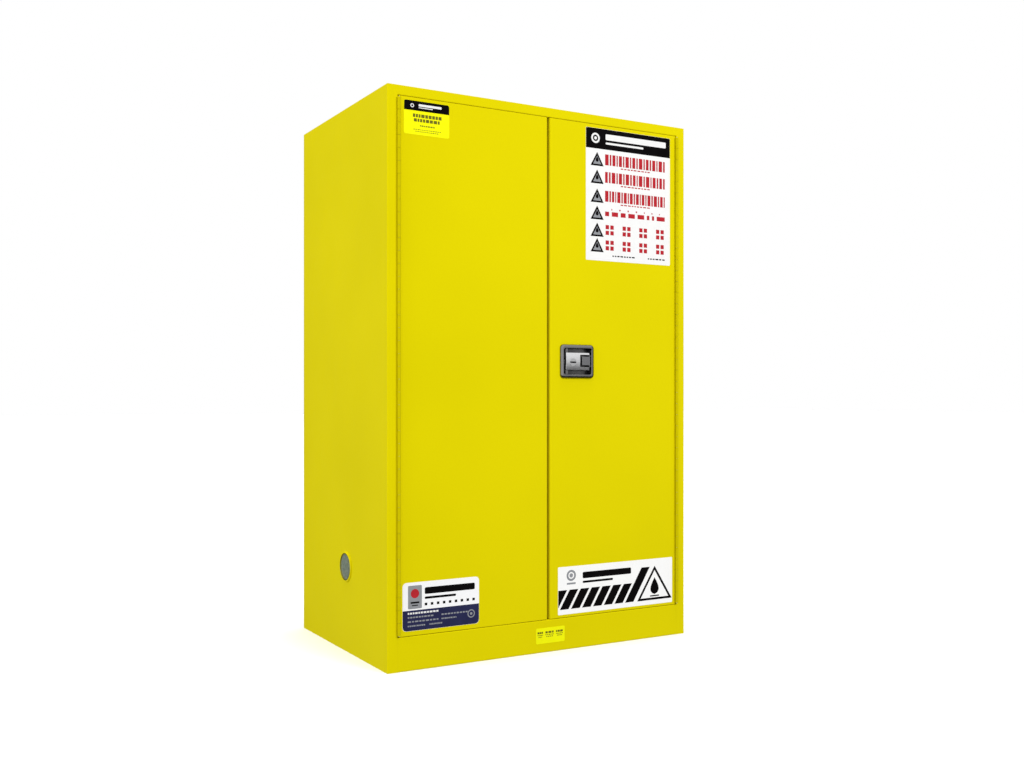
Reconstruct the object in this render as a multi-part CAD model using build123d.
"""Two-door steel safety cabinet for flammable liquids, in millimetres.

A double-walled steel box stands on the floor. Two inset doors, each a double-skinned pan on a
full-height piano hinge, close a front frame of two stiles, a header and a deep sill. Inside are a
leakproof sump pan, a painted liner, slotted shelf standards and two tray shelves. The right door
carries a recessed paddle handle with a key lock, which turns a cam that draws back an upper rod, a
lower rod and a centre bolt. The left door is held by two hand-slid bolts. Each side wall has a
vent collar with two flame-arrester screens.

Frame: +X to the right seen from the front, +Y to the back, +Z up. The origin is on the floor,
under the middle of the bounding box.
"""

from build123d import *

import os
from math import radians, sin, tan

# ---------------------------------------------------------------- driving dimensions
WIDTH = 1050.0
DEPTH = 700.0
HEIGHT = 1650.0
SHEET = 1.2  # steel sheet of every panel
BEND = 2.0  # radius of a fold, to the middle of the sheet
WALL_GAP = 38.0  # air gap between the two skins of a wall
CUT = 5.0  # how far a cutting shape runs past what it cuts
LOOSE = 0.5  # clearance round what passes through a hole
SNUG = 0.05  # and round what turns in one

REAR_FLANGE_W = 22.0
TOP_EDGE_R = 0.8
FLOOR_INSET = 5.0  # from the outer floor to the walls at its front and sides
FLOOR_REAR_INSET = 6.0
STOP_SETBACK = 8.0  # from the opening's edge to the liner flanges that stop the doors

STILE_W = 32.0  # face width of the front frame at each side
HEADER_H = 28.0  # and above the doors
SILL_H = 97.0  # and below them
SUMP_FLOOR = 50.0  # height of the sump's floor
SUMP_RIM = 110.0  # height of the sump's walls
SUMP_R = 6.0

DOOR_T = 42.0
DOOR_EDGE_R = 2.2
DOOR_SIDE_GAP = 3.0
DOOR_TOP_GAP = 1.0
DOOR_BOTTOM_GAP = 1.0
SEAM_X = 5.0  # middle of the gap where the doors meet
SEAM_GAP = 7.0
MEETING_EDGE_R = 6.5  # of the doors' edges where they meet
INNER_PAN_T = 6.0  # depth of the shallow pan that closes a door's back
RIM_W = 35.0  # flat rim of that pan, round its pressed field
FIELD_DEPTH = 4.0
FIELD_R = 12.0
FIELD_TAPER = 30.0  # degrees
LAP_GAP = 0.3  # between sheets that lap
ASTRAGAL_T = 3.0
ASTRAGAL_FROM = 30.0  # behind the door's face
ASTRAGAL_END = 8.0  # short of the door's top and bottom

KNUCKLE_R = 5.0
HINGE_BORE_R = 2.55
HINGE_PIN_R = 2.5
PIN_END = 1.0  # of a pin beyond its end knuckles
KNUCKLE_PITCH = 36.0
KNUCKLE_GAP = 0.6
KNUCKLES = 42
LEAF_T = 1.2
LEAF_DEPTH = 30.0
FACE_CLEARANCE = 0.2  # between a knuckle and the front of the frame
LEAF_SETBACK = 0.3  # from the front to a leaf's plate
STRAP_Y = 3.0  # from the pin to where the knuckle runs into its strap

VENT_FROM_FRONT = 314.0
VENT_LOW_Z = 257.0
VENT_HIGH_Z = HEIGHT - VENT_LOW_Z
VENT_FLANGE_R = 46.0
VENT_PROUD = 4.0
VENT_TUBE_R = 43.0
VENT_BORE_R = 41.0
VENT_BORE_L = 4.0
VENT_THROAT_R = 38.5
VENT_RIM_R = 2.0
VENT_TUBE_END = 12.0  # beyond the liner
SCREEN_T = 1.5
SCREEN_HOLE_R = 2.2
SCREEN_PITCH = 7.8
SCREEN_RIM = 2.0  # unpierced edge of a screen
SCREEN_SUNK = 2.0  # from the bore's step to the middle of the outer screen
SCREEN_END = 9.0  # from the liner to the middle of the inner screen
LOCK_RING_T = 8.0
LOCK_RING_W = 9.5
SPANNER_NOTCH = (20.0, 8.0, 6.0)

GROUND_FROM_BACK = 80.0
GROUND_Z = 60.0
GROUND_BOLT_R = 3.0
GROUND_HEAD = (5.8, 4.0)  # radius over corners and height
GROUND_NUT_H = 5.0
WASHER_R = 8.0
WASHER_T = 1.0

SLOT_PITCH = 50.0  # of the shelf standards
SLOT_Z0 = 150.0
SLOT_COUNT = 29
STANDARD_W = 25.0
STANDARD_T = 7.0
STANDARD_FRONT = 130.0  # from the front
STANDARD_REAR = 70.0  # from the back liner
SHELF_SLOTS = {"shelf_lower": 8, "shelf_upper": 19}  # slot that each shelf hangs from
CLIP_DROP = 12.0  # from a shelf's underside to its slot's middle
SHELF_LIP = 25.0
SHELF_SIDE_GAP = 4.0
SHELF_FRONT = 92.0  # from the front
SHELF_REAR = 12.0  # from the back liner
SHELF_R = 4.0
SLOT_HALF_W = 2.5
SLOT_HALF_H = 7.0
STANDARD_END = 30.0  # beyond its first and last slots
CLIP_HALF_W = 9.0
CLIP_H = 26.0
CLIP_T = 2.0
CLIP_TONGUE = 20.0
HOOK = (4.0, 2.2, 6.0, 5.0)  # reach, half width, and height below and above the slot's middle
STIFFENER = (15.0, 20.0, 17.0)  # half width, half width over its flanges, and depth
STIFFENER_END = 30.0

FOOT_INSET = 80.0
FOOT_STUD_R = 5.0
FOOT_PAD_R = 18.0
FOOT_LIFT = 1.6  # pad above the floor when it is screwed right in
FOOT_PAD_T = 5.0
FOOT_CHAMFER = (2.0, 1.0)  # of the pad and of the stud
FOOT_TOP = 44.0
FOOT_HOLE_R = 6.5
FOOT_PLATE_HALF = 30.0
FOOT_PLATE_T = 4.0
FOOT_NUT = (9.8, 12.0)  # radius over corners and height

HANDLE_X = 106.0
HANDLE_Z = 882.0
BEZEL_W = 122.0
BEZEL_H = 104.0
BEZEL_R = 12.0
BEZEL_PROUD = 8.0
BEZEL_EDGE_R = 7.0
BOWL_W = 101.0
BOWL_H = 80.0
BOWL_DEPTH = 14.0  # from the door's face to the bowl's floor
BOWL_WALL = 2.0
BOWL_R = 6.0
MOUTH_CHAMFER = 1.2
EAR_GAP = 0.4  # between a pivoted piece and the ears beside it
PADDLE_W = 86.0
PADDLE_H = 54.0
PADDLE_T = 4.0
PADDLE_PROUD = 5.0
PADDLE_SHIFT = 2.0  # of its middle right of the bowl's
PADDLE_CROWN_R = 180.0  # radius of its face, seen from the side
PADDLE_R = 2.5
PADDLE_EDGE_R = 0.8
PADDLE_PIN_R = 1.5
PADDLE_PIN_END = 3.0  # short of the bowl's walls
PIVOT_INSET = 4.0  # of the paddle's pivot from its left edge
PIVOT_DEPTH = 3.0  # and behind the door's face
BARREL_R = 4.0
ROOT_HALF = 3.0
BOSS_R = 15.0
BOSS_BACK = 7.0  # behind the door's face
KEYWAY_W = 21.0
KEYWAY_H = 5.0
KEYWAY_DEPTH = 11.0
LOCK_R = 12.2
LOCK_INSET = 24.5  # of the lock's middle from the paddle's left edge
LOCK_DROP = 2.5  # of the lock's middle below the handle's
LOCK_PROUD = 0.3
LOCK_TAIL = 1.5  # beyond the boss
LOCK_EDGE_R = 0.5
TAIL_L = 19.0  # from the paddle's pivot to the middle of the tail's round end
TAIL_HALF_H = 4.0
TAIL_HALF_T = 1.5
TAIL_END_R = 2.5
TAIL_SLOT = (6.0, 16.0, 6.0)  # reach left and right of the pivot, and half height
NOTCH_W = 35.0  # finger notch at the paddle's right edge
NOTCH_H = 38.0
NOTCH_RISE = 2.0  # of the notch's middle above the handle's
NOTCH_R = 3.0
FLAP_H = 27.0  # sprung flap that fills the notch
FLAP_L = 29.0
FLAP_SUNK = 2.0  # below the paddle's face
FLAP_T = 2.0
FLAP_PIVOT = 47.3  # right of the handle's middle
FLAP_R = 1.5
FLAP_LIP = 4.4
FLAP_PIN_R = 1.0
FLAP_BARREL_R = 2.4
BASE_PLATE = (58.0, 46.0, 44.0)  # half width, and reach below and above the handle's middle
CAM_SWING = 30.0  # degrees
CAM_STUD_R = 4.0
CAM_SHIFT = 3.0  # of its centre right of the handle's middle
CAM_RIM = 6.0  # of the cam beyond the middles of its pins
CAM_TOP = 30.0  # height of the cam's arm above its centre
CAM_ARM_W = 16.0
CAM_SLOT_W = 5.5
CAM_SLOT_H = 20.0
CAM_ARM = 15.0  # height of the slider's pin above the cam's centre
ROD_ARM = 20.0  # from the cam's centre to each rod's pin
ROD_R = 3.0
ROD_HOLE_R = 5.5
ROD_PIN_R = 3.0
YOKE_HALF = (8.0, 7.0)  # half width and half height
YOKE_SLOT_HALF = (4.8, 3.3)
BOLT_HALF_H = 8.0
BOLT_WINDOW = (2.8, 4.6)  # half width and half height of the window for the paddle's tail
NOSE_R = 1.0
SLIDER_PIN_R = 2.5
SLIDE_GAP = 0.08  # round a bolt or rod in its guides
GUIDE = (10.0, 22.0, 2.0, 3.0)  # half width, height and thickness of the foot, thickness of the shelf
GUIDE_OVER = 4.5  # reach of the shelf beyond its rod's middle
GUIDE_Z = {"upper": (1100.0, 1560.0), "lower": (650.0, 160.0)}
COVER_X = (-46.0, 74.0)
COVER_Z = (-70.0, 60.0)
COVER_T = 1.5
COVER_R = 6.0
COVER_INSET = 8.0
COVER_HOLE_R = 1.8
STRIKE_HALF = 20.0
STRIKE_W = 22.0
STRIKE_T = 2.0
BRACKET_DROP = 4.0  # below the sump's rim
BRACKET_H = 24.0
BOLT_PROUD = 1.5  # the centre bolt's nose beyond the door's edge

PASSIVE_X = -16.0
PASSIVE_R = 5.0
PASSIVE_L = 126.0
PASSIVE_CHAMFER = 1.0
PASSIVE_STANDOFF = 12.0
STEM_R = 2.5
KNOB_R = 6.0
KNOB_EDGE_R = 1.5
KNOB_Y = (10.0, 18.0)  # from the bolt's middle
KNOB_FROM_TIP = 76.0
GUIDE_FROM_TIP = 70.0
GUIDE_SPACING = 64.0
GUIDE_BASE = (14.0, 42.0, 2.0)  # half width, half height and thickness
GUIDE_BLOCK = (9.0, 6.0, 8.0)  # half width, half height and reach beyond the bolt's middle
PASSIVE_CLEAR = 2.6  # from a drawn-back bolt's tip to the frame that it must swing past

LABEL_T = 0.25

# ---------------------------------------------------------------- worked-out places
HALF = WIDTH / 2
MID = SHEET / 2
PROUD = 2 * KNUCKLE_R + FACE_CLEARANCE  # what stands furthest in front of the frame
FRONT = PROUD - (DEPTH + PROUD) / 2
BACK = FRONT + DEPTH
WALL = WALL_GAP + 2 * SHEET
LINER_X = HALF - WALL
LINER_BACK = BACK - WALL
CEILING = HEIGHT - WALL
OPEN_HALF = HALF - STILE_W
OPEN_TOP = HEIGHT - HEADER_H
STOP = DOOR_T + 2.0  # depth of the rebate that a door closes into

DOOR_Z = (SILL_H + DOOR_BOTTOM_GAP, OPEN_TOP - DOOR_TOP_GAP)
DOOR_X = {
    "left": (-OPEN_HALF + DOOR_SIDE_GAP, SEAM_X - SEAM_GAP / 2),
    "right": (SEAM_X + SEAM_GAP / 2, OPEN_HALF - DOOR_SIDE_GAP),
}
SIGN = {"left": -1, "right": 1}

HINGE_X = OPEN_HALF - DOOR_SIDE_GAP / 2
HINGE_Y = FRONT - FACE_CLEARANCE - KNUCKLE_R
HINGE_Z0 = (DOOR_Z[0] + DOOR_Z[1] - KNUCKLES * KNUCKLE_PITCH) / 2
HINGE_Z1 = HINGE_Z0 + KNUCKLES * KNUCKLE_PITCH

GROUND_PLACE = (BACK - GROUND_FROM_BACK, GROUND_Z)
VENT_Y = FRONT + VENT_FROM_FRONT
VENT_Z = {"left": VENT_LOW_Z, "right": VENT_HIGH_Z}

STANDARD_Y = {"front": FRONT + STANDARD_FRONT, "rear": LINER_BACK - STANDARD_REAR}
SHELF_Z = {name: SLOT_Z0 + SLOT_PITCH * k + CLIP_DROP for name, k in SHELF_SLOTS.items()}
SHELF_HALF = LINER_X - STANDARD_T - SHELF_SIDE_GAP
SHELF_Y = (FRONT + SHELF_FRONT, LINER_BACK - SHELF_REAR)

FOOT_PLACES = {
    "front_left": (-HALF + FOOT_INSET, FRONT + FOOT_INSET),
    "front_right": (HALF - FOOT_INSET, FRONT + FOOT_INSET),
    "rear_left": (-HALF + FOOT_INSET, BACK - FOOT_INSET),
    "rear_right": (HALF - FOOT_INSET, BACK - FOOT_INSET),
}
FLOOR_SKIN_Z = 9.0  # underside of the outer floor

# Depths behind the door's face of the layers of the latch.
BASE_Y = (FRONT + 16.2, FRONT + 18.2)
SLIDER_Y = (FRONT + 20.0, FRONT + 24.0)
CAM_Y = (FRONT + 25.0, FRONT + 28.0)
YOKE_Y = (FRONT + 29.0, FRONT + 34.0)
PIN_END_Y = FRONT + 34.0
ROD_Y = FRONT + 31.5

PADDLE_X0 = HANDLE_X + PADDLE_SHIFT - PADDLE_W / 2
PADDLE_X1 = PADDLE_X0 + PADDLE_W
PIVOT_X = PADDLE_X0 + PIVOT_INSET
PIVOT_Y = FRONT + PIVOT_DEPTH
PADDLE_PIN_Z = (
    HANDLE_Z - BOWL_H / 2 + PADDLE_PIN_END,
    HANDLE_Z + BOWL_H / 2 - PADDLE_PIN_END,
)
FLAP_Z = HANDLE_Z + NOTCH_RISE
FLAP_PIVOT_X = HANDLE_X + FLAP_PIVOT
FLAP_PIVOT_Y = FRONT - PADDLE_PROUD + FLAP_SUNK + FLAP_BARREL_R
LOCK_X = PADDLE_X0 + LOCK_INSET
LOCK_Z = HANDLE_Z - LOCK_DROP
CAM_X = HANDLE_X + CAM_SHIFT
CAM_Z = HANDLE_Z - CAM_ARM
HALF_SWING = radians(CAM_SWING / 2)
SLIDER_TRAVEL = 2 * CAM_ARM * tan(HALF_SWING)
ROD_TRAVEL = 2 * ROD_ARM * sin(HALF_SWING)
ROD_X = {"upper": CAM_X + ROD_ARM, "lower": CAM_X - ROD_ARM}
ROD_SIGN = {"upper": 1, "lower": -1}
PASSIVE_Y = FRONT + DOOR_T + PASSIVE_STANDOFF

# Labels, as (x from, x to, z from, z to, corner radius).
LABELS = {
    "hazard_label": (140.0, 467.0, 1198.0, 1610.0, 4.0),
    "caution_label": (-475.0, -332.0, 1516.0, 1612.0, 6.0),
    "info_label": (-479.0, -235.0, 112.0, 249.0, 12.0),
    "banner_label": (38.0, 476.0, 107.0, 253.0, 3.0),
    "sill_label": (-40.0, 62.0, 27.0, 74.0, 4.0),
}


# ---------------------------------------------------------------- helpers
def block(x, y, z):
    """A box between two places on each axis."""
    size = (x[1] - x[0], y[1] - y[0], z[1] - z[0])
    middle = ((x[0] + x[1]) / 2, (y[0] + y[1]) / 2, (z[0] + z[1]) / 2)
    return Pos(*middle) * Box(*size)


def round_x(x, y, z, radius):
    """A cylinder along X from x[0] to x[1]."""
    return Pos((x[0] + x[1]) / 2, y, z) * Rot(0, 90, 0) * Cylinder(radius, x[1] - x[0])


def round_y(x, y, z, radius):
    """A cylinder along Y from y[0] to y[1]."""
    return Pos(x, (y[0] + y[1]) / 2, z) * Rot(90, 0, 0) * Cylinder(radius, y[1] - y[0])


def round_z(x, y, z, radius):
    """A cylinder along Z from z[0] to z[1]."""
    return Pos(x, y, (z[0] + z[1]) / 2) * Cylinder(radius, z[1] - z[0])


def rounded_y(x, y, z, radius):
    """A plate square to Y, with its four corners rounded."""
    plate = block(x, y, z)
    return fillet(plate.edges().filter_by(Axis.Y), radius)


def fold_z(points, z):
    """Sheet folded along a path in plan, drawn through its middle, from z[0] to z[1]."""
    path = FilletPolyline(*points, radius=BEND) if len(points) > 2 else Polyline(*points)
    return Pos(0, 0, z[0]) * extrude(trace(path, line_width=SHEET), z[1] - z[0])


def fold_x(points, x):
    """Sheet folded along a path of (y, z) points, from x[0] to x[1]."""
    path = FilletPolyline(*points, radius=BEND)
    profile = Plane.YZ * trace(path, line_width=SHEET)
    return Pos(x[0], 0, 0) * extrude(profile, x[1] - x[0])


def front_edges(solid):
    """Edges round the face that looks to the front."""
    return solid.faces().sort_by(Axis.Y)[0].edges()


# ---------------------------------------------------------------- carcass
def side_shell(side):
    """Outer side wall, folded round the front into the stile and its rebate return."""
    s = SIGN[side]
    rear = [(s * (HALF - REAR_FLANGE_W), BACK - SHEET - MID), (s * (HALF - MID), BACK - SHEET - MID)]
    corner = (s * (HALF - MID), FRONT + MID)
    plain = [*rear, corner, (s * OPEN_HALF, FRONT + MID)]
    edge = s * (OPEN_HALF + MID)
    rebated = [*rear, corner, (edge, FRONT + MID), (edge, FRONT + STOP)]
    shell = fold_z(plain, (0, SILL_H))
    shell += fold_z(rebated, (SILL_H, OPEN_TOP))
    shell += fold_z(plain, (OPEN_TOP, HEIGHT - SHEET))
    across = sorted((s * OPEN_HALF, s * (HALF - MID)))
    shell += block(across, (FRONT + SHEET, BACK - 2 * SHEET), (0, SHEET))
    shell -= vent_hole(side)
    if side == "right":
        shell -= round_x((HALF - CUT, HALF + CUT), *GROUND_PLACE, GROUND_BOLT_R + LOOSE)
    return shell


def vent_hole(side):
    """Clearance for the vent tube through both skins of a side wall."""
    span = sorted((SIGN[side] * (LINER_X - CUT), SIGN[side] * (HALF + CUT)))
    return round_x(span, VENT_Y, VENT_Z[side], VENT_TUBE_R + LOOSE)


def back_panel():
    """Outer back wall, lapped over the side walls' rear flanges, with a foot flange."""
    panel = block((-HALF, HALF), (BACK - SHEET, BACK), (0, HEIGHT - SHEET))
    return panel + block((-OPEN_HALF, OPEN_HALF), (BACK - STILE_W, BACK - MID), (0, SHEET))


def top_panel():
    """Outer top, with its front corners rounded like the folds below them."""
    panel = block((-HALF, HALF), (FRONT, BACK), (HEIGHT - SHEET, HEIGHT))
    corners = panel.edges().filter_by(Axis.Z).group_by(Axis.Y)[0]
    panel = fillet(corners, BEND + MID)
    return fillet(panel.faces().sort_by(Axis.Z)[-1].edges(), TOP_EDGE_R)


def bottom_panel():
    """Outer floor, whose down-turned lips stand on the foot flanges."""
    x = (-HALF + FLOOR_INSET, HALF - FLOOR_INSET)
    y = (FRONT + FLOOR_INSET, BACK - FLOOR_REAR_INSET)
    tray = block(x, y, (SHEET, FLOOR_SKIN_Z + SHEET))
    tray = offset(tray, amount=-SHEET, openings=[tray.faces().sort_by(Axis.Z)[0]])
    for place in FOOT_PLACES.values():
        tray -= round_z(*place, (0, FLOOR_SKIN_Z + CUT), FOOT_HOLE_R)
    return tray


def front_header():
    """Top rail of the front frame, with the return that the doors close under."""
    rail = fold_x(
        [(FRONT + MID, HEIGHT - SHEET), (FRONT + MID, OPEN_TOP + MID), (FRONT + STOP, OPEN_TOP + MID)],
        (-OPEN_HALF, OPEN_HALF),
    )
    return rail - round_z(ROD_X["upper"], ROD_Y, (OPEN_TOP - CUT, OPEN_TOP + CUT), ROD_HOLE_R)


def front_sill():
    """Deep bottom rail of the front frame, from its foot flange to its door return."""
    rail = fold_x(
        [
            (FRONT + STILE_W, MID),
            (FRONT + MID, MID),
            (FRONT + MID, SILL_H - MID),
            (FRONT + STOP, SILL_H - MID),
        ],
        (-OPEN_HALF, OPEN_HALF),
    )
    return rail - round_z(ROD_X["lower"], ROD_Y, (SILL_H - CUT, SILL_H + CUT), ROD_HOLE_R)


def side_liner(side):
    """Inner side wall, with the front flange that stops the door."""
    s = SIGN[side]
    face = s * (LINER_X + MID)
    points = [
        (s * (OPEN_HALF + STOP_SETBACK), FRONT + STOP + MID),
        (face, FRONT + STOP + MID),
        (face, LINER_BACK),
    ]
    return fold_z(points, (SUMP_RIM, CEILING)) - vent_hole(side)


def back_liner():
    """Inner back wall."""
    return block(
        (-LINER_X - SHEET, LINER_X + SHEET), (LINER_BACK, LINER_BACK + SHEET), (SUMP_RIM, CEILING)
    )


def top_liner():
    """Inner ceiling, with the front flange that stops the doors and a hole for the left door's bolt."""
    points = [
        (FRONT + STOP + MID, OPEN_TOP + STOP_SETBACK),
        (FRONT + STOP + MID, CEILING + MID),
        (LINER_BACK + SHEET, CEILING + MID),
    ]
    liner = fold_x(points, (-LINER_X - SHEET, LINER_X + SHEET))
    return liner - round_z(PASSIVE_X, PASSIVE_Y, (CEILING - CUT, CEILING + CUT), PASSIVE_R + 2 * LOOSE)


def sump_pan():
    """Leakproof pan that forms the inner floor and the raised sill behind the doors."""
    pan = block(
        (-LINER_X - SHEET, LINER_X + SHEET),
        (FRONT + STOP, LINER_BACK + SHEET),
        (SUMP_FLOOR - SHEET, SUMP_RIM),
    )
    edges = pan.faces().sort_by(Axis.Z)[0].edges() + pan.edges().filter_by(Axis.Z)
    pan = fillet(edges, SUMP_R)
    return offset(pan, amount=-SHEET, openings=[pan.faces().sort_by(Axis.Z)[-1]])


# ---------------------------------------------------------------- vents and ground bolt
def vent_collar(side):
    """Flanged collar through the side wall, stepped for a duct spigot at its mouth."""
    s = SIGN[side]
    y, z = VENT_Y, VENT_Z[side]
    mouth = s * (HALF + VENT_PROUD)
    flange = round_x(sorted((s * HALF, mouth)), y, z, VENT_FLANGE_R)
    rim = flange.faces().sort_by(Axis.X)[-1 if s > 0 else 0].edges()
    collar = fillet(rim, VENT_RIM_R)
    end = LINER_X - VENT_TUBE_END
    collar += round_x(sorted((s * HALF, s * end)), y, z, VENT_TUBE_R)
    collar -= round_x(sorted((s * (end - CUT), mouth)), y, z, VENT_THROAT_R)
    return collar - round_x(sorted((mouth - s * VENT_BORE_L, mouth)), y, z, VENT_BORE_R)


def vent_screens():
    """Perforated flame-arrester discs, near the mouth and at the inner end of each collar."""
    radius = VENT_THROAT_R - 2 * SNUG
    reach = radius - SCREEN_RIM - SCREEN_HOLE_R
    rows = int(2 * radius / SCREEN_PITCH) + 1
    disc = Cylinder(radius, SCREEN_T)
    spots = [spot for spot in HexLocations(SCREEN_PITCH / 2, rows, rows) if spot.position.length < reach]
    disc -= [spot * Cylinder(SCREEN_HOLE_R, 2 * SCREEN_T) for spot in spots]
    turned = Rot(0, 90, 0) * disc
    inset = (HALF + VENT_PROUD - VENT_BORE_L - SCREEN_SUNK, LINER_X - SCREEN_END)
    return [Pos(s * x, VENT_Y, VENT_Z[side]) * turned for side, s in SIGN.items() for x in inset]


def vent_lock_rings():
    """Ring nuts that clamp the collars from inside, notched for a spanner."""
    rings = []
    for side, s in SIGN.items():
        y, z = VENT_Y, VENT_Z[side]
        span = sorted((s * LINER_X, s * (LINER_X - LOCK_RING_T)))
        outer = VENT_TUBE_R + LOCK_RING_W
        ring = round_x(span, y, z, outer) - round_x(span, y, z, VENT_TUBE_R + 2 * SNUG)
        for turn in range(4):
            notch = Pos(0, 0, outer) * Box(*SPANNER_NOTCH)
            ring -= Pos(s * LINER_X, y, z) * Rot(90 * turn, 0, 0) * notch
        rings.append(ring)
    return rings


def ground_bolt():
    """Earthing bolt through the right wall: hex bolt, washer and inner nut."""
    y, z = GROUND_PLACE
    hexagon = RegularPolygon(GROUND_HEAD[0], 6)
    under = HALF + WASHER_T
    bolt = Pos(under, y, z) * Rot(0, 90, 0) * extrude(hexagon, GROUND_HEAD[1])
    end = HALF - SHEET - GROUND_NUT_H
    bolt += round_x((end - CUT, under + WASHER_T), y, z, GROUND_BOLT_R)
    washer = round_x((HALF, under), y, z, WASHER_R)
    washer -= round_x((HALF - CUT, under + CUT), y, z, GROUND_BOLT_R + SNUG)
    nut = Pos(end, y, z) * Rot(0, 90, 0) * extrude(hexagon, GROUND_NUT_H)
    nut -= round_x((end - CUT, HALF), y, z, GROUND_BOLT_R + SNUG)
    return [bolt, washer, nut]


# ---------------------------------------------------------------- shelves
def shelf_standard(side, row):
    """Slotted channel on the liner, with its web facing into the cabinet."""
    s = SIGN[side]
    y = STANDARD_Y[row]
    wall, web = s * LINER_X, s * (LINER_X - STANDARD_T + MID)
    half = STANDARD_W / 2 - MID
    points = [(wall, y - half), (web, y - half), (web, y + half), (wall, y + half)]
    top = SLOT_Z0 + SLOT_PITCH * (SLOT_COUNT - 1) + STANDARD_END
    channel = fold_z(points, (SLOT_Z0 - STANDARD_END, top))
    across = sorted((web - s * SHEET, web + s * SHEET))
    along = (y - SLOT_HALF_W, y + SLOT_HALF_W)
    for k in range(SLOT_COUNT):
        z = SLOT_Z0 + SLOT_PITCH * k
        channel -= block(across, along, (z - SLOT_HALF_H, z + SLOT_HALF_H))
    return channel


def shelf_clips():
    """Hooked clips, four to a shelf, each hung in a slot of its standard."""
    hook_reach, hook_half, hook_below, hook_above = HOOK
    clips = []
    for z in SHELF_Z.values():
        slot = z - CLIP_DROP
        for s in SIGN.values():
            for y in STANDARD_Y.values():
                web = s * (LINER_X - STANDARD_T)
                neck = sorted((web, web + s * hook_reach))
                leaf = sorted((web, web - s * CLIP_T))
                tongue = sorted((web, web - s * CLIP_TONGUE))
                width = (y - CLIP_HALF_W, y + CLIP_HALF_W)
                clip = block(leaf, width, (z - CLIP_H, z)) + block(tongue, width, (z - CLIP_T, z))
                clip += block(neck, (y - hook_half, y + hook_half), (slot - hook_below, slot + hook_above))
                clips.append(clip)
    return clips


def shelf(name):
    """Tray shelf with upturned lips and two stiffening channels under it."""
    z = SHELF_Z[name]
    tray = block((-SHELF_HALF, SHELF_HALF), SHELF_Y, (z, z + SHELF_LIP))
    edges = tray.faces().sort_by(Axis.Z)[0].edges() + tray.edges().filter_by(Axis.Z)
    tray = fillet(edges, SHELF_R)
    tray = offset(tray, amount=-SHEET, openings=[tray.faces().sort_by(Axis.Z)[-1]])
    depth = SHELF_Y[1] - SHELF_Y[0]
    half, flange, drop = STIFFENER
    for share in (1 / 3, 2 / 3):
        y = SHELF_Y[0] + depth * share
        points = [(y - flange, z - MID), (y - half, z - MID), (y - half, z - drop), (y + half, z - drop)]
        points += [(y + half, z - MID), (y + flange, z - MID)]
        tray += fold_x(points, (-SHELF_HALF + STIFFENER_END, SHELF_HALF - STIFFENER_END))
    return tray


# ---------------------------------------------------------------- levelling feet
def levelling_foot(place):
    """Pad and stud, screwed right in so that the pad clears the floor."""
    pad = round_z(*place, (FOOT_LIFT, FOOT_LIFT + FOOT_PAD_T), FOOT_PAD_R)
    pad = chamfer(pad.faces().sort_by(Axis.Z)[-1].edges(), FOOT_CHAMFER[0])
    stud = round_z(*place, (FOOT_LIFT + FOOT_PAD_T / 2, FOOT_TOP), FOOT_STUD_R)
    return pad + chamfer(stud.faces().sort_by(Axis.Z)[-1].edges(), FOOT_CHAMFER[1])


def foot_mount_plates():
    """Plates on the outer floor, each with a welded nut for a foot."""
    plates = []
    base = FLOOR_SKIN_Z + SHEET
    for x, y in FOOT_PLACES.values():
        across = (x - FOOT_PLATE_HALF, x + FOOT_PLATE_HALF)
        along = (y - FOOT_PLATE_HALF, y + FOOT_PLATE_HALF)
        plate = block(across, along, (base, base + FOOT_PLATE_T))
        nut = extrude(RegularPolygon(FOOT_NUT[0], 6), FOOT_NUT[1])
        plate += Pos(x, y, base + FOOT_PLATE_T) * nut
        plates.append(plate - round_z(x, y, (0, FOOT_TOP), FOOT_STUD_R + SNUG))
    return plates


# ---------------------------------------------------------------- hinges
def hinge_leaf(side, moving):
    """One leaf of a piano hinge. The fixed leaf has the even knuckles, the moving leaf the odd."""
    s = SIGN[side]
    x = s * HINGE_X
    toward = -s if moving else s  # the way from the pin to this leaf's plate
    plate_x = sorted((x + toward * (DOOR_SIDE_GAP / 2 - LEAF_T), x + toward * DOOR_SIDE_GAP / 2))
    leaf = block(plate_x, (FRONT + LEAF_SETBACK, FRONT + LEAF_DEPTH), (HINGE_Z0, HINGE_Z1))
    bore = round_z(x, HINGE_Y, (HINGE_Z0 - CUT, HINGE_Z1 + CUT), HINGE_BORE_R)
    for k in range(1 if moving else 0, KNUCKLES, 2):
        z0 = HINGE_Z0 + k * KNUCKLE_PITCH + KNUCKLE_GAP / 2
        z = (z0, z0 + KNUCKLE_PITCH - KNUCKLE_GAP)
        leaf += block(plate_x, (HINGE_Y + STRAP_Y, FRONT + 2 * LEAF_SETBACK), z)
        leaf += round_z(x, HINGE_Y, z, KNUCKLE_R)
    return leaf - bore


def hinge_pins():
    """The two full-height hinge pins."""
    return [
        round_z(s * HINGE_X, HINGE_Y, (HINGE_Z0 - PIN_END, HINGE_Z1 + PIN_END), HINGE_PIN_R)
        for s in SIGN.values()
    ]


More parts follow.
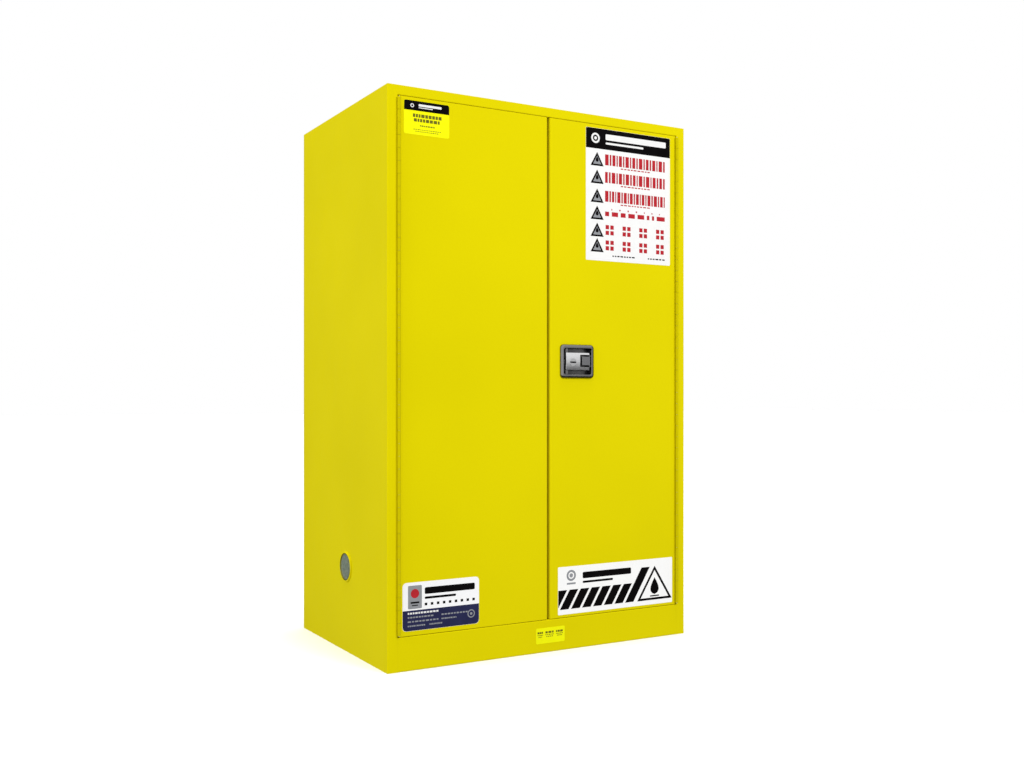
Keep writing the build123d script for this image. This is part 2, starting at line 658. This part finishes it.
# ---------------------------------------------------------------- doors
def outer_pan(side):
    """Front skin and edges of a door, open at the back."""
    solid = block(DOOR_X[side], (FRONT, FRONT + DOOR_T), DOOR_Z)
    meeting_edge = front_edges(solid).filter_by(Axis.Z).sort_by(Axis.X)[-1 if side == "left" else 0]
    solid = fillet(meeting_edge, MEETING_EDGE_R)
    solid = fillet(front_edges(solid) + solid.edges().filter_by(Axis.Y), DOOR_EDGE_R)
    pan = offset(solid, amount=-SHEET, openings=[solid.faces().sort_by(Axis.Y)[-1]])
    meeting = DOOR_X[side][1 if side == "left" else 0]
    bolt_hole = block(
        (meeting - CUT, meeting + CUT),
        (SLIDER_Y[0] - LOOSE, SLIDER_Y[1] + LOOSE),
        (HANDLE_Z - BOLT_HALF_H - LOOSE, HANDLE_Z + BOLT_HALF_H + LOOSE),
    )
    pan -= bolt_hole
    if side == "right":
        for rod, x in ROD_X.items():
            edge = DOOR_Z[1] if rod == "upper" else DOOR_Z[0]
            pan -= round_z(x, ROD_Y, (edge - CUT, edge + CUT), ROD_R + LOOSE)
        pan -= rounded_y(*bowl_box(BOWL_WALL + LAP_GAP, (FRONT - CUT, FRONT + CUT)), BOWL_R + BOWL_WALL)
    return pan


def inner_pan(side):
    """Shallow pan that closes a door's back, with a pressed field inside a flat rim."""
    x0, x1 = DOOR_X[side]
    inset = SHEET + LAP_GAP
    x = (x0 + inset, x1 - inset)
    z = (DOOR_Z[0] + inset, DOOR_Z[1] - inset)
    y = (FRONT + DOOR_T - INNER_PAN_T, FRONT + DOOR_T)
    solid = rounded_y(x, y, z, DOOR_EDGE_R - SHEET)
    field = Plane.XZ.offset(-y[1]) * Pos((x[0] + x[1]) / 2, (z[0] + z[1]) / 2)
    window = field * RectangleRounded(x[1] - x[0] - 2 * RIM_W, z[1] - z[0] - 2 * RIM_W, FIELD_R)
    solid -= extrude(window, FIELD_DEPTH, taper=FIELD_TAPER)
    front = solid.faces().filter_by(Axis.Y).sort_by(Axis.Y)[0]
    return offset(solid, amount=-SHEET, openings=[front], kind=Kind.INTERSECTION)


def astragal_strip():
    """Strip on the left door's meeting edge, behind the gap between the doors."""
    edge = DOOR_X["left"][1]
    z = (DOOR_Z[0] + ASTRAGAL_END, DOOR_Z[1] - ASTRAGAL_END)
    return block((edge, edge + ASTRAGAL_T), (FRONT + ASTRAGAL_FROM, FRONT + DOOR_T), z)


# ---------------------------------------------------------------- handle and lock
def bowl_box(wall, y):
    """The handle bowl's outline, grown by a wall thickness, between two depths."""
    x = (HANDLE_X - BOWL_W / 2 - wall, HANDLE_X + BOWL_W / 2 + wall)
    z = (HANDLE_Z - BOWL_H / 2 - wall, HANDLE_Z + BOWL_H / 2 + wall)
    return x, y, z


def tail_slot(y):
    """Slot that the paddle's tail swings in."""
    before, after, half = TAIL_SLOT
    return block((PIVOT_X - before, PIVOT_X + after), y, (HANDLE_Z - half, HANDLE_Z + half))


def handle_housing():
    """Cast bezel and bowl of the recessed handle, with bearings for the paddle's pin."""
    x = (HANDLE_X - BEZEL_W / 2, HANDLE_X + BEZEL_W / 2)
    z = (HANDLE_Z - BEZEL_H / 2, HANDLE_Z + BEZEL_H / 2)
    bezel = rounded_y(x, (FRONT - BEZEL_PROUD, FRONT), z, BEZEL_R)
    bezel = fillet(front_edges(bezel), BEZEL_EDGE_R)
    body = bezel + rounded_y(*bowl_box(BOWL_WALL, (FRONT - BOWL_WALL, BASE_Y[0])), BOWL_R + BOWL_WALL)
    body -= rounded_y(*bowl_box(0, (FRONT - BEZEL_PROUD - CUT, FRONT + BOWL_DEPTH)), BOWL_R)
    half_w, half_h = BOWL_W / 2 + SNUG, BOWL_H / 2 + SNUG
    mouth = [e for e in front_edges(body) if abs(e.center().X - HANDLE_X) < half_w]
    body = chamfer([e for e in mouth if abs(e.center().Z - HANDLE_Z) < half_h], MOUTH_CHAMFER)
    deep = FRONT + BOWL_DEPTH + BOWL_WALL / 2
    for up in (1, -1):
        ear = sorted((HANDLE_Z + up * (PADDLE_H / 2 + EAR_GAP), HANDLE_Z + up * half_h))
        body += block((PIVOT_X - BARREL_R, PIVOT_X + BARREL_R), (PIVOT_Y - BARREL_R, deep), ear)
        ear = sorted((FLAP_Z + up * (FLAP_H / 2 + EAR_GAP), FLAP_Z + up * (NOTCH_H / 2 - PIN_END)))
        wall = (FLAP_PIVOT_X - FLAP_BARREL_R, HANDLE_X + half_w)
        body += block(wall, (FLAP_PIVOT_Y - FLAP_BARREL_R, deep), ear)
    body -= tail_slot((FRONT + BOWL_DEPTH - CUT / 2, BASE_Y[0] + CUT))
    flap_pin_z = (FLAP_Z - NOTCH_H / 2, FLAP_Z + NOTCH_H / 2)
    body -= round_z(FLAP_PIVOT_X, FLAP_PIVOT_Y, flap_pin_z, FLAP_PIN_R + SNUG)
    return body - round_z(PIVOT_X, PIVOT_Y, PADDLE_PIN_Z, PADDLE_PIN_R + SNUG)


def handle_pins():
    """Steel pins that the paddle and its finger flap turn on."""
    reach = NOTCH_H / 2 - PIN_END
    return [
        round_z(PIVOT_X, PIVOT_Y, PADDLE_PIN_Z, PADDLE_PIN_R),
        round_z(FLAP_PIVOT_X, FLAP_PIVOT_Y, (FLAP_Z - reach, FLAP_Z + reach), FLAP_PIN_R),
    ]


def finger_flap():
    """Sprung flap in the paddle's notch, pushed in by the fingers, with a turned-in left edge."""
    z = (FLAP_Z - FLAP_H / 2, FLAP_Z + FLAP_H / 2)
    face = FRONT - PADDLE_PROUD + FLAP_SUNK
    left = FLAP_PIVOT_X - FLAP_L
    plate = rounded_y((left, FLAP_PIVOT_X), (face, face + FLAP_T), z, FLAP_R)
    plate = fillet(front_edges(plate).group_by(Axis.X)[0], PADDLE_EDGE_R)
    lip = block((left, left + FLAP_T), (face + FLAP_T / 2, face + FLAP_LIP), (z[0] + FLAP_R, z[1] - FLAP_R))
    flap = plate + lip + round_z(FLAP_PIVOT_X, FLAP_PIVOT_Y, z, FLAP_BARREL_R)
    return flap - round_z(FLAP_PIVOT_X, FLAP_PIVOT_Y, (z[0] - CUT, z[1] + CUT), FLAP_PIN_R + SNUG)


def paddle():
    """Pull plate with a finger notch, a boss for the lock and a tail that drives the slider."""
    z = (HANDLE_Z - PADDLE_H / 2, HANDLE_Z + PADDLE_H / 2)
    y = (FRONT - PADDLE_PROUD, FRONT - PADDLE_PROUD + PADDLE_T)
    plate = rounded_y((PADDLE_X0, PADDLE_X1), y, z, PADDLE_R)
    crown_x = (PADDLE_X0 - CUT, PADDLE_X1 + CUT)
    plate &= round_x(crown_x, y[0] + PADDLE_CROWN_R, HANDLE_Z, PADDLE_CROWN_R)
    plate = fillet(front_edges(plate), PADDLE_EDGE_R)
    notch_z = (FLAP_Z - NOTCH_H / 2, FLAP_Z + NOTCH_H / 2)
    notch = block((PADDLE_X1 - NOTCH_W, PADDLE_X1 + CUT), (y[0] - CUT, y[1] + CUT), notch_z)
    inner = notch.edges().filter_by(Axis.Y).group_by(Axis.X)[0]
    plate -= fillet(inner, NOTCH_R)
    rear = y[1] - PADDLE_T / 4
    barrel = round_z(PIVOT_X, PIVOT_Y, z, BARREL_R)
    root = block((PIVOT_X - ROOT_HALF, PIVOT_X + ROOT_HALF), (rear, PIVOT_Y), z)
    boss = round_y(LOCK_X, (rear, FRONT + BOSS_BACK), LOCK_Z, BOSS_R)
    tail_end = PIVOT_Y + TAIL_L
    tail_z = (HANDLE_Z - TAIL_HALF_H, HANDLE_Z + TAIL_HALF_H)
    tail = block((PIVOT_X - TAIL_HALF_T, PIVOT_X + TAIL_HALF_T), (PIVOT_Y, tail_end), tail_z)
    tail += round_z(PIVOT_X, tail_end, tail_z, TAIL_END_R)
    body = plate + barrel + root + boss + tail
    body -= round_y(LOCK_X, (y[0] - CUT, FRONT + BOSS_BACK + CUT), LOCK_Z, LOCK_R + SNUG)
    return body - round_z(PIVOT_X, PIVOT_Y, (z[0] - CUT, z[1] + CUT), PADDLE_PIN_R + SNUG)


def lock_cylinder():
    """Key cylinder in the paddle, with a level keyway."""
    y = (FRONT - PADDLE_PROUD - LOCK_PROUD, FRONT + BOSS_BACK + LOCK_TAIL)
    plug = round_y(LOCK_X, y, LOCK_Z, LOCK_R)
    plug = fillet(front_edges(plug), LOCK_EDGE_R)
    keyway_x = (LOCK_X - KEYWAY_W / 2, LOCK_X + KEYWAY_W / 2)
    keyway_z = (LOCK_Z - KEYWAY_H / 2, LOCK_Z + KEYWAY_H / 2)
    return plug - block(keyway_x, (y[0] - CUT, y[0] + KEYWAY_DEPTH), keyway_z)


def latch_base_plate():
    """Plate behind the bowl that carries the cam's stud."""
    half, below, above = BASE_PLATE
    plate = block((HANDLE_X - half, HANDLE_X + half), BASE_Y, (HANDLE_Z - below, HANDLE_Z + above))
    plate -= tail_slot((BASE_Y[0] - CUT, BASE_Y[1] + CUT))
    return plate + round_y(CAM_X, (BASE_Y[0], PIN_END_Y), CAM_Z, CAM_STUD_R)


def latch_cam():
    """Cam with a slotted arm for the slider's pin and a pin for each rod, turned to its start."""
    thick = CAM_Y[1] - CAM_Y[0]
    disc = Cylinder(ROD_ARM + CAM_RIM, thick)
    disc += Pos(0, CAM_TOP / 2, 0) * Box(CAM_ARM_W, CAM_TOP, thick)
    disc -= Pos(0, CAM_ARM + CAM_RIM, 0) * Box(CAM_SLOT_W, CAM_SLOT_H, 2 * thick)
    length = PIN_END_Y - CAM_Y[1]
    for x in (-ROD_ARM, ROD_ARM):
        disc += Pos(x, 0, (thick + length) / 2) * Cylinder(ROD_PIN_R, length)
    disc -= Cylinder(CAM_STUD_R + SNUG, 4 * thick)
    # The cam is drawn face up; this stands it up with its arm along +Z and its pins to the back.
    upright = Plane(origin=(CAM_X, (CAM_Y[0] + CAM_Y[1]) / 2, CAM_Z), x_dir=(-1, 0, 0), z_dir=(0, 1, 0))
    return upright * Rot(0, 0, -CAM_SWING / 2) * disc


def centre_bolt():
    """Slider whose nose is the bolt at the meeting edge, driven by the paddle's tail."""
    nose = DOOR_X["right"][0] - BOLT_PROUD
    bar = block((nose, CAM_X + BOLT_HALF_H), SLIDER_Y, (HANDLE_Z - BOLT_HALF_H, HANDLE_Z + BOLT_HALF_H))
    nose_edges = bar.faces().sort_by(Axis.X)[0].edges().filter_by(Axis.Z)
    bar = fillet(nose_edges, NOSE_R)
    half_w, half_h = BOLT_WINDOW
    window_y = (SLIDER_Y[0] - CUT, SLIDER_Y[1] + CUT)
    bar -= block((PIVOT_X - half_w, PIVOT_X + half_w), window_y, (HANDLE_Z - half_h, HANDLE_Z + half_h))
    pin_x = CAM_X - CAM_ARM * tan(HALF_SWING)
    return bar + round_y(pin_x, (SLIDER_Y[0], CAM_Y[1]), HANDLE_Z, SLIDER_PIN_R)


def latch_rod(which):
    """Rod from its yoke on the cam to its round tip, flush with the door's edge."""
    s = ROD_SIGN[which]
    x = ROD_X[which]
    pin_z = CAM_Z + s * ROD_ARM * sin(HALF_SWING)
    tip = DOOR_Z[1] if s > 0 else DOOR_Z[0]
    rod = round_z(x, ROD_Y, sorted((pin_z + s * YOKE_HALF[1], tip)), ROD_R)
    end = rod.faces().filter_by(Axis.Z).sort_by(Axis.Z)[-1 if s > 0 else 0]
    rod = fillet(end.edges(), ROD_R - LOOSE)
    rod += block((x - YOKE_HALF[0], x + YOKE_HALF[0]), YOKE_Y, (pin_z - YOKE_HALF[1], pin_z + YOKE_HALF[1]))
    slot_x = (x - YOKE_SLOT_HALF[0], x + YOKE_SLOT_HALF[0])
    slot_z = (pin_z - YOKE_SLOT_HALF[1], pin_z + YOKE_SLOT_HALF[1])
    return rod - block(slot_x, (YOKE_Y[0] - CUT, YOKE_Y[1] + CUT), slot_z)


def latch_rod_guides():
    """Angle brackets on the outer skin, two to a rod."""
    guides = []
    skin = FRONT + SHEET
    half, foot_h, foot_t, shelf_t = GUIDE
    for which, heights in GUIDE_Z.items():
        x = ROD_X[which]
        for z in heights:
            guide = block((x - half, x + half), (skin, skin + foot_t), (z, z + foot_h))
            guide += block((x - half, x + half), (skin, ROD_Y + GUIDE_OVER), (z, z + shelf_t))
            guides.append(guide - round_z(x, ROD_Y, (z - CUT, z + CUT), ROD_R + SLIDE_GAP))
    return guides


def latch_cover_plate():
    """Access plate over the latch, on the inside of the right door."""
    y = FRONT + DOOR_T - FIELD_DEPTH
    x = (HANDLE_X + COVER_X[0], HANDLE_X + COVER_X[1])
    z = (HANDLE_Z + COVER_Z[0], HANDLE_Z + COVER_Z[1])
    plate = rounded_y(x, (y, y + COVER_T), z, COVER_R)
    for hole_x in (x[0] + COVER_INSET, x[1] - COVER_INSET):
        for hole_z in (z[0] + COVER_INSET, z[1] - COVER_INSET):
            plate -= round_y(hole_x, (y - CUT, y + CUT), hole_z, COVER_HOLE_R)
    return plate


def strike_plates():
    """Keepers for the two rods and the two hand bolts."""
    plates = []
    for x, z in ((ROD_X["upper"], OPEN_TOP + SHEET), (ROD_X["lower"], SILL_H - SHEET - STRIKE_T)):
        across = (x - STRIKE_HALF, x + STRIKE_HALF)
        plate = block(across, (ROD_Y - STRIKE_W / 2, ROD_Y + STRIKE_W / 2), (z, z + STRIKE_T))
        plates.append(plate - round_z(x, ROD_Y, (z - CUT, z + CUT), ROD_R + 3 * LOOSE))
    x, y = PASSIVE_X, PASSIVE_Y
    across = (x - STRIKE_HALF, x + STRIKE_HALF)
    z = CEILING + SHEET
    wall = FRONT + STOP + SHEET
    plate = block(across, (wall + BEND, y + STRIKE_W), (z, z + STRIKE_T))
    plates.append(plate - round_z(x, y, (z - CUT, z + CUT), PASSIVE_R + LOOSE))
    top = SUMP_RIM - BRACKET_DROP
    bracket = block(across, (wall, wall + STRIKE_T), (top - BRACKET_H, top))
    bracket += block(across, (wall, y + STRIKE_W / 2), (top - STRIKE_T, top))
    plates.append(bracket - round_z(x, y, (top - CUT, top + CUT), PASSIVE_R + LOOSE))
    return plates


# ---------------------------------------------------------------- left door's hand bolts
def passive_tip(up):
    """Height of a drawn-back bolt's tip."""
    return CEILING - PASSIVE_CLEAR if up > 0 else SUMP_RIM + PASSIVE_CLEAR


def passive_bolt(up):
    """Round bolt with a knob, drawn back. It slides away from the door's middle to lock."""
    tip = passive_tip(up)
    tail = tip - up * PASSIVE_L
    bolt = round_z(PASSIVE_X, PASSIVE_Y, sorted((tip, tail)), PASSIVE_R)
    bolt = chamfer(bolt.edges().filter_by(GeomType.CIRCLE), PASSIVE_CHAMFER)
    knob_z = tip - up * KNOB_FROM_TIP
    stem = round_y(PASSIVE_X, (PASSIVE_Y, PASSIVE_Y + KNOB_Y[1] - KNOB_EDGE_R), knob_z, STEM_R)
    knob = round_y(PASSIVE_X, (PASSIVE_Y + KNOB_Y[0], PASSIVE_Y + KNOB_Y[1]), knob_z, KNOB_R)
    return bolt + stem + fillet(knob.edges().filter_by(GeomType.CIRCLE), KNOB_EDGE_R)


def passive_bolt_guides():
    """Base plates with two guide blocks each, one for each hand bolt."""
    guides = []
    face = FRONT + DOOR_T
    for up in (1, -1):
        middle = passive_tip(up) - up * GUIDE_FROM_TIP
        half_w, half_h, thick = GUIDE_BASE
        base_z = (middle - half_h, middle + half_h)
        guide = block((PASSIVE_X - half_w, PASSIVE_X + half_w), (face, face + thick), base_z)
        half_w, half_h, over = GUIDE_BLOCK
        for z in (middle - GUIDE_SPACING / 2, middle + GUIDE_SPACING / 2):
            across = (PASSIVE_X - half_w, PASSIVE_X + half_w)
            guide += block(across, (face, PASSIVE_Y + over), (z - half_h, z + half_h))
        guides.append(guide - round_z(PASSIVE_X, PASSIVE_Y, base_z, PASSIVE_R + SLIDE_GAP))
    return guides


# ---------------------------------------------------------------- labels
def label(name):
    """A thin printed sticker on the front."""
    x0, x1, z0, z1, radius = LABELS[name]
    return rounded_y((x0, x1), (FRONT - LABEL_T, FRONT), (z0, z1), radius)


# ---------------------------------------------------------------- all nodes
def build():
    """Every node by name, as one shape or a list of separate solids."""
    nodes = {
        "back_panel": back_panel(),
        "top_panel": top_panel(),
        "bottom_panel": bottom_panel(),
        "front_header": front_header(),
        "front_sill": front_sill(),
        "liner_back": back_liner(),
        "liner_top": top_liner(),
        "sump_pan": sump_pan(),
        "vent_screens": vent_screens(),
        "vent_lock_rings": vent_lock_rings(),
        "ground_bolt": ground_bolt(),
        "shelf_clips": shelf_clips(),
        "foot_mount_plates": foot_mount_plates(),
        "hinge_pins": hinge_pins(),
        "strike_plates": strike_plates(),
        "astragal_strip": astragal_strip(),
        "passive_bolt_guides": passive_bolt_guides(),
        "passive_bolt_top": passive_bolt(1),
        "passive_bolt_bottom": passive_bolt(-1),
        "handle_housing": handle_housing(),
        "handle_pins": handle_pins(),
        "finger_flap": finger_flap(),
        "paddle": paddle(),
        "lock_cylinder": lock_cylinder(),
        "latch_base_plate": latch_base_plate(),
        "latch_cam": latch_cam(),
        "centre_bolt": centre_bolt(),
        "latch_rod_guides": latch_rod_guides(),
        "latch_cover_plate": latch_cover_plate(),
    }
    for side in SIGN:
        nodes[f"side_shell_{side}"] = side_shell(side)
        nodes[f"liner_{side}"] = side_liner(side)
        nodes[f"vent_collar_{side}"] = vent_collar(side)
        nodes[f"hinge_frame_leaf_{side}"] = hinge_leaf(side, moving=False)
        nodes[f"hinge_door_leaf_{side}"] = hinge_leaf(side, moving=True)
        nodes[f"door_{side}_outer_pan"] = outer_pan(side)
        nodes[f"door_{side}_inner_pan"] = inner_pan(side)
        for row in STANDARD_Y:
            nodes[f"shelf_standard_{row}_{side}"] = shelf_standard(side, row)
    for name in SHELF_Z:
        nodes[name] = shelf(name)
    for which in ROD_SIGN:
        nodes[f"latch_rod_{which}"] = latch_rod(which)
    for corner, place in FOOT_PLACES.items():
        nodes[f"levelling_foot_{corner}"] = levelling_foot(place)
    for name in LABELS:
        nodes[name] = label(name)
    return nodes


def main():
    os.makedirs("parts", exist_ok=True)
    for name, shape in build().items():
        if isinstance(shape, list):
            shape = Compound(children=[solid for piece in shape for solid in piece.solids()])
        export_step(shape, f"parts/{name}.step")
    print("slider travel", round(SLIDER_TRAVEL, 3), "rod travel", round(ROD_TRAVEL, 3))


main()
